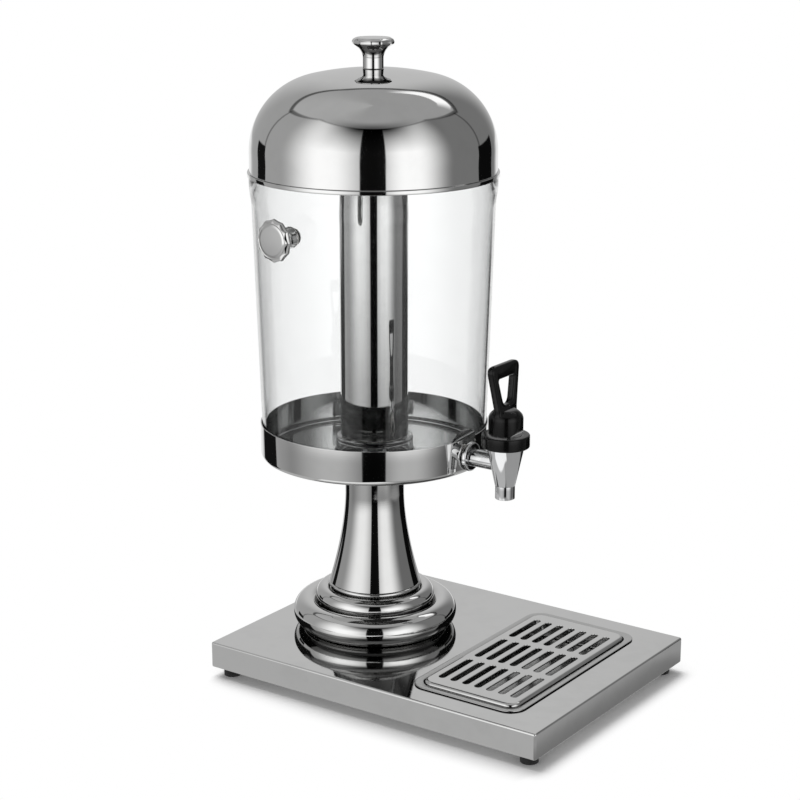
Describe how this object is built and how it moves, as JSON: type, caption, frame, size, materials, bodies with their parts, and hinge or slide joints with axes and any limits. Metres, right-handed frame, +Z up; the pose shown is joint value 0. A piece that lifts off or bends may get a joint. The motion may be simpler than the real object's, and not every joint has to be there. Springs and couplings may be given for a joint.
{
  "type": "syrup dispenser",
  "caption": "Counter-top drink dispenser: clear tank with an ice tube under a domed steel lid, on a pedestal over a drip tray, with a lever faucet.",
  "frame": {"origin": "middle of the bounding box's underside, on the table", "axes": "+Z up, +X towards the faucet and the drip tray, +Y to the left of someone who looks along +X"},
  "size_m": [0.3696, 0.2646, 0.5791],
  "materials": {
    "polished_steel": "mirror polished stainless",
    "chrome": "polished chrome",
    "satin_steel": "satin stainless",
    "zinc_steel": "zinc plated",
    "clear_plastic": "clear gloss",
    "black_plastic": "gloss black",
    "black_rubber": "matt black",
    "pale_silicone": "satin pale grey"
  },
  "bodies": {
    "base": {"base_plate": "polished_steel", "foot_1": "black_rubber", "foot_screw_1": "zinc_steel", "foot_nut_1": "zinc_steel", "foot_2": "black_rubber", "foot_screw_2": "zinc_steel", "foot_nut_2": "zinc_steel", "foot_3": "black_rubber", "foot_screw_3": "zinc_steel", "foot_nut_3": "zinc_steel", "foot_4": "black_rubber", "foot_screw_4": "zinc_steel", "foot_nut_4": "zinc_steel", "backing_plate": "zinc_steel", "pedestal_lower_ring": "polished_steel", "pedestal_upper_ring": "polished_steel", "pedestal_collar": "polished_steel", "pedestal_neck": "polished_steel", "column_rod": "zinc_steel", "column_washer_low": "zinc_steel", "column_nut_low": "zinc_steel", "column_washer_top": "zinc_steel", "column_nut_top": "zinc_steel", "tank_cradle": "polished_steel"},
    "tray": {"drip_tray": "satin_steel"},
    "grille": {"drip_grille": "polished_steel"},
    "tank": {"tank": "clear_plastic", "ice_tube": "polished_steel", "ice_tube_gasket": "pale_silicone", "ice_tube_washer": "zinc_steel", "ice_tube_nut": "zinc_steel", "side_knob": "polished_steel", "side_knob_gasket": "pale_silicone", "side_knob_washer": "zinc_steel", "side_knob_screw": "zinc_steel", "faucet_body": "chrome", "faucet_escutcheon": "chrome", "faucet_gasket": "pale_silicone", "faucet_washer": "pale_silicone", "faucet_nut": "pale_silicone", "faucet_bonnet": "black_plastic", "faucet_spring": "satin_steel"},
    "lid": {"lid_dome": "polished_steel", "lid_knob": "polished_steel", "lid_washer": "zinc_steel", "lid_screw": "zinc_steel"},
    "stem": {"faucet_stem": "satin_steel", "faucet_seat_cup": "pale_silicone"},
    "handle": {"faucet_handle": "black_plastic", "handle_pin": "satin_steel"}
  },
  "joints": [
    {"name": "tank_lift", "type": "slide", "parent": "base", "child": "tank", "axis": [0, 0, 1], "range_m": [0, 0.1]},
    {"name": "lid_lift", "type": "slide", "parent": "tank", "child": "lid", "axis": [0, 0, 1], "range_m": [0, 0.15]},
    {"name": "tray_lift", "type": "slide", "parent": "base", "child": "tray", "axis": [0, 0, 1], "range_m": [0, 0.08]},
    {"name": "grille_lift", "type": "slide", "parent": "tray", "child": "grille", "axis": [0, 0, 1], "range_m": [0, 0.05]},
    {"name": "stem_lift", "type": "slide", "parent": "tank", "child": "stem", "axis": [0, 0, 1], "range_m": [0, 0.0053], "deforming": ["faucet_spring"]},
    {"name": "handle_tilt", "type": "hinge", "parent": "stem", "child": "handle", "pos_m": [0.07025, 0.00234, 0.2499], "axis": [0, 1, 0], "range_deg": [0, 45], "stiffness_Nm_per_rad": 0.4, "springref_deg": -11.46}
  ],
  "couplings": [
    {"joint": "handle_tilt", "follows": "stem_lift", "rad_per_m": 147.06}
  ]
}
